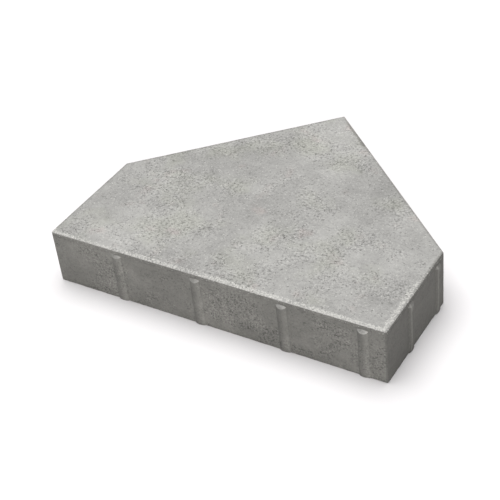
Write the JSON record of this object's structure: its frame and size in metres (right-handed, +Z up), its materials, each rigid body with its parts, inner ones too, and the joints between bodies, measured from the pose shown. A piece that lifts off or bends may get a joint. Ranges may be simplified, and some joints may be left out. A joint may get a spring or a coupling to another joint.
{
  "type": "mitre paving slab",
  "caption": "Pentagonal pressed-concrete edge slab with a bevelled face and upright spacer nibs, for paving laid on the diagonal.",
  "frame": {"origin": "on the underside, in the middle of the rectangle that the plan just fits into, without the nibs", "axes": "+X along the long side, +Y from the long side towards the peak, +Z up through the walking face"},
  "size_m": [0.427, 0.3494, 0.07],
  "materials": {
    "backing_concrete": "matte",
    "facing_concrete": "matte",
    "nib_concrete": "matte"
  },
  "bodies": {
    "root": {"backing_concrete": "backing_concrete", "facing_concrete": "facing_concrete", "spacer_nib_front_1": "nib_concrete", "spacer_nib_front_2": "nib_concrete", "spacer_nib_front_3": "nib_concrete", "spacer_nib_front_4": "nib_concrete", "spacer_nib_right_1": "nib_concrete", "spacer_nib_right_2": "nib_concrete", "spacer_nib_right_mitre_1": "nib_concrete", "spacer_nib_right_mitre_2": "nib_concrete", "spacer_nib_right_mitre_3": "nib_concrete", "spacer_nib_left_mitre_1": "nib_concrete", "spacer_nib_left_mitre_2": "nib_concrete", "spacer_nib_left_mitre_3": "nib_concrete", "spacer_nib_left_1": "nib_concrete", "spacer_nib_left_2": "nib_concrete"}
  },
  "joints": []
}
